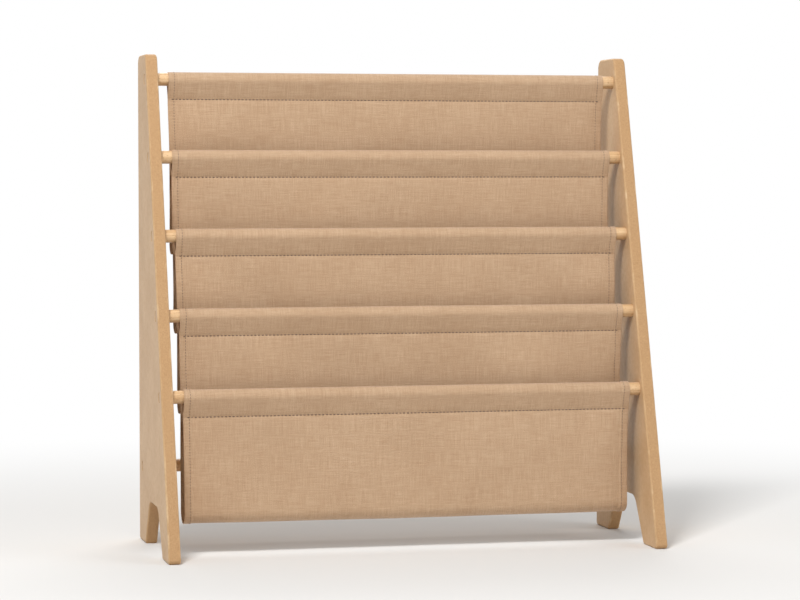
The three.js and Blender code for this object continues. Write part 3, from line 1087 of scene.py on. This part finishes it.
class Cover:
    """The hung cloth as a grid, with a column for each place across it and a line for each
    point of its path. points are in the middle of the cloth."""

    def __init__(self):
        self.path = cover_path()
        self.x = cover_columns()
        self.y, self.z = self.line("y"), self.line("z")
        self.along = np.concatenate([[0], np.cumsum(np.hypot(np.diff(self.y), np.diff(self.z)))])
        self.row, self.share = self.line("row"), self.line("share")
        self.next_row = self.row + (self.share > 0)
        near_row = np.where(self.share > 1 / 2, self.next_row, self.row)
        self.from_seam = np.abs(self.z - SEAM_HEIGHTS[near_row])
        column = self.x[:, None]
        self.hem = self.spread(hem_share(column))
        self.points = self.hang(column)
        normals = np.cross(np.gradient(self.points, axis=1), np.gradient(self.points, axis=0))
        self.normals = normals / np.linalg.norm(normals, axis=-1, keepdims=True)
        from_hem_line = np.abs(from_edge(column) - HEM_STITCH_INSET)
        self.seam_pull = self.spread(1 - smooth(self.from_seam / PULL_REACH))
        self.hem_pull = self.spread(1 - smooth(from_hem_line / PULL_REACH))
        inwards = np.minimum(from_edge(column) / HEM_FOLD_RADIUS, 1)
        roundness = np.sqrt(1 - (1 - inwards) ** 2)
        self.fullness = self.spread(np.maximum(roundness, HEM_RIM_SHARE))

    def line(self, key):
        return np.array([point[key] for point in self.path])

    def spread(self, values):
        """The values of the columns or the lines, for the whole grid."""
        return np.broadcast_to(values, (len(self.x), len(self.path)))

    def hang(self, column):
        """The grid of points: the path, moved by waves, drawn together at the seams, sunk at
        the pockets' bottoms and a little narrower below the seams."""
        back = -self.pinch() * (1 - self.hem)
        for row, seam in enumerate(SEAM_HEIGHTS):
            weight = (self.row == row) * (1 - self.share) + (self.next_row == row) * self.share
            back = back + weight * stand_out(row, column, seam - self.z)
        below = smooth((SEAM_HEIGHTS[self.row] - self.z) / BOTTOM_REACH)
        width = column * (1 - NECKING * below / CLOTH_HALF_WIDTH)
        sunk = sink(column, self.low_share())
        return np.stack([width, self.y + back, self.z - sunk], axis=-1)

    def pinch(self):
        """How far each layer is drawn to the middle near its seam, at each line."""
        near = 1 - smooth(self.from_seam / PINCH_REACH)
        return self.line("layer") * (LAYER_OFFSET - PINCHED_OFFSET) * near

    def low_share(self):
        """1 at the fold of each pocket, down to 0 some way above it, at each line."""
        pocket, layer = self.line("pocket"), self.line("layer")
        share = np.zeros(len(self.path))
        for number in range(1, LOWEST + 1):
            part = pocket == number
            fold_top = self.z[part & (layer == 0)].max()
            share[part] = 1 - smooth((self.z[part] - fold_top) / BOTTOM_REACH)
        return share

    def surface(self, x, along, face):
        """The place and the outward normal on a face of the cloth, 1 for the upper face and
        -1 for the one that touches the dowels."""
        i = np.clip(np.searchsorted(self.x, x) - 1, 0, len(self.x) - 2)
        j = np.clip(np.searchsorted(self.along, along) - 1, 0, len(self.along) - 2)
        right = (x - self.x[i]) / (self.x[i + 1] - self.x[i])
        down = (along - self.along[j]) / (self.along[j + 1] - self.along[j])

        def sample(grid):
            first = grid[i, j] * (1 - right) + grid[i + 1, j] * right
            second = grid[i, j + 1] * (1 - right) + grid[i + 1, j + 1] * right
            return first * (1 - down) + second * down

        normal = sample(self.normals) * face
        depth = CLOTH_THICKNESS / 2
        if face < 0:
            depth += CLOTH_THICKNESS * sample(self.hem)
        return sample(self.points) + normal * depth, normal

    def faces(self):
        """The points of the upper face and of the one that touches the dowels, which the
        turned hems make thicker."""
        half = CLOTH_THICKNESS / 2 * (1 + self.hem) * self.fullness
        middle = self.points - self.normals * (CLOTH_THICKNESS / 2 * self.hem)[..., None]
        return middle + self.normals * half[..., None], middle - self.normals * half[..., None]


def sheet_faces(columns, lines):
    """The faces of a closed sheet, whose upper points are a grid of columns and lines and are
    followed by as many under points."""
    under = columns * lines

    def number(i, j):
        return i * lines + j

    faces = []
    for i in range(columns - 1):
        for j in range(lines - 1):
            corners = (number(i, j), number(i + 1, j), number(i + 1, j + 1), number(i, j + 1))
            faces.append(corners)
            faces.append(tuple(under + corner for corner in corners[::-1]))
    border = (
        [number(i, 0) for i in range(columns - 1)]
        + [number(columns - 1, j) for j in range(lines - 1)]
        + [number(i, lines - 1) for i in range(columns - 1, 0, -1)]
        + [number(0, j) for j in range(lines - 1, 0, -1)]
    )
    for first, second in zip(border, border[1:] + border[:1]):
        faces.append((second, first, under + first, under + second))
    return faces


def cover_piece(cover):
    upper, under = cover.faces()
    points = np.concatenate([upper.reshape(-1, 3), under.reshape(-1, 3)]).tolist()
    faces = sheet_faces(len(cover.x), len(cover.path))
    piece = piece_of_points("sewn_cover", points, faces, CLOTH_FINISH, SHARP_CLOTH)
    x, along = cover.spread(cover.x[:, None]), cover.spread(cover.along)
    flat = np.stack([x, along, np.zeros(x.shape)], axis=-1)
    attribute = piece.data.attributes.new("flat", "FLOAT_VECTOR", "POINT")
    attribute.data.foreach_set("vector", np.tile(flat.ravel(), 2))
    for name, grid in (("seam_pull", cover.seam_pull), ("hem_pull", cover.hem_pull)):
        attribute = piece.data.attributes.new(name, "FLOAT", "POINT")
        attribute.data.foreach_set("value", np.tile(grid.ravel(), 2))
    for row in FRONT_ROWS:
        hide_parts(f"{row}_sleeve")
    for pocket in FRONT_ROWS[1:]:
        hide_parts(f"{pocket}_sling")
    return piece


# Stitches


def stitches(name, size, places):
    """One piece of raised stitches. Each place is (middle, direction, normal)."""
    points, faces = [], []
    for middle, direction, normal in places:
        side = np.cross(normal, direction)
        rings = []
        for k in range(STITCH_RINGS):
            share = 2 * k / (STITCH_RINGS - 1) - 1
            bend = share ** STITCH_BEND_POWER
            thick = size["radius"] * (1 - STITCH_TAPER * bend)
            lift = size["rise"] - (size["rise"] + size["radius"]) * bend
            centre = middle + direction * (share * size["length"] / 2) + normal * lift
            rings.append(range(len(points), len(points) + STITCH_SIDES))
            for i in range(STITCH_SIDES):
                angle = 2 * math.pi * i / STITCH_SIDES
                up = STITCH_FLATNESS * math.sin(angle) * normal
                points.append(tuple(centre + thick * (math.cos(angle) * side + up)))
        faces += [tuple(rings[0]), tuple(rings[-1])]
        for first, second in zip(rings, rings[1:]):
            faces += strip_faces(first, second)
    return piece_of_points(name, points, faces, THREAD_FINISH, SHARP_STITCH)


def stitch_line(cover, size, start, end, face):
    """Places for stitches from start to end, each an (x, along) pair on one face."""
    start, end = np.array(start), np.array(end)
    count = int(np.linalg.norm(end - start) / size["pitch"])
    step = (end - start) / count
    half = step * (size["length"] / size["pitch"] / 2)
    places = []
    for k in range(count):
        middle = start + step * (k + 1 / 2)
        point, normal = cover.surface(*middle, face)
        reach = cover.surface(*(middle + half), face)[0] - cover.surface(*(middle - half), face)[0]
        places.append((point, reach / np.linalg.norm(reach), normal))
    return places


def clear_of_dowels(places, size):
    """Those places where a stitch doesn't stand into a dowel."""
    height = size["rise"] + size["radius"]
    kept = []
    for point, direction, normal in places:
        top = point + normal * height
        if all(math.hypot(top[1] - middle.y, top[2] - middle.z) > DOWEL_RADIUS for middle in DOWELS):
            kept.append((point, direction, normal))
    return kept


def seam_crossings(cover, row):
    """How far along the cloth the two layers of a row's seam lie, with the front one first."""
    found = {}
    for along, point in zip(cover.along, cover.path):
        at_seam = abs(point["z"] - SEAM_HEIGHTS[row]) < HEIGHT_TOLERANCE
        if at_seam and point["row"] == row and point["layer"]:
            found[point["layer"]] = along
    return found[-1], found[1]


def sew_seams(cover):
    """The stitches below each sleeve, which show in front and at the back."""
    made = []
    end_x = CLOTH_HALF_WIDTH - SEAM_END_INSET
    for row, name in enumerate(FRONT_ROWS):
        face = -1 if row == LOWEST else 1
        lines = []
        for along in seam_crossings(cover, row):
            lines += stitch_line(cover, SEAM_STITCH, (-end_x, along), (end_x, along), face)
        piece = stitches(f"{name}_seam_stitches", SEAM_STITCH, lines)
        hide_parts(f"{name}_seam_thread")
        made.append(piece)
    return made


def sew_hems(cover):
    """A line of stitches on each face of each side hem."""
    made = []
    for side_name, side in SIDES.items():
        x = side * (CLOTH_HALF_WIDTH - HEM_STITCH_INSET)
        lines = []
        for face in (1, -1):
            places = stitch_line(cover, HEM_STITCH, (x, cover.along[1]), (x, cover.along[-2]), face)
            lines += clear_of_dowels(places, HEM_STITCH)
        piece = stitches(f"hem_stitches_{side_name}", HEM_STITCH, lines)
        made.append(piece)
    return made


# The shelf

for side_name, side in SIDES.items():
    side_panel(f"side_panel_{side_name}", side)

for row in ROWS:
    dowel(row)
    for side_name, side in SIDES.items():
        cap(row, side_name, side)
        refinish(f"{row}_bolt_{side_name}", BOLT_FINISH)
        refinish(f"{row}_insert_{side_name}", INSERT_FINISH)

cover = Cover()
cloth = cover_piece(cover)
threads = sew_seams(cover) + sew_hems(cover)
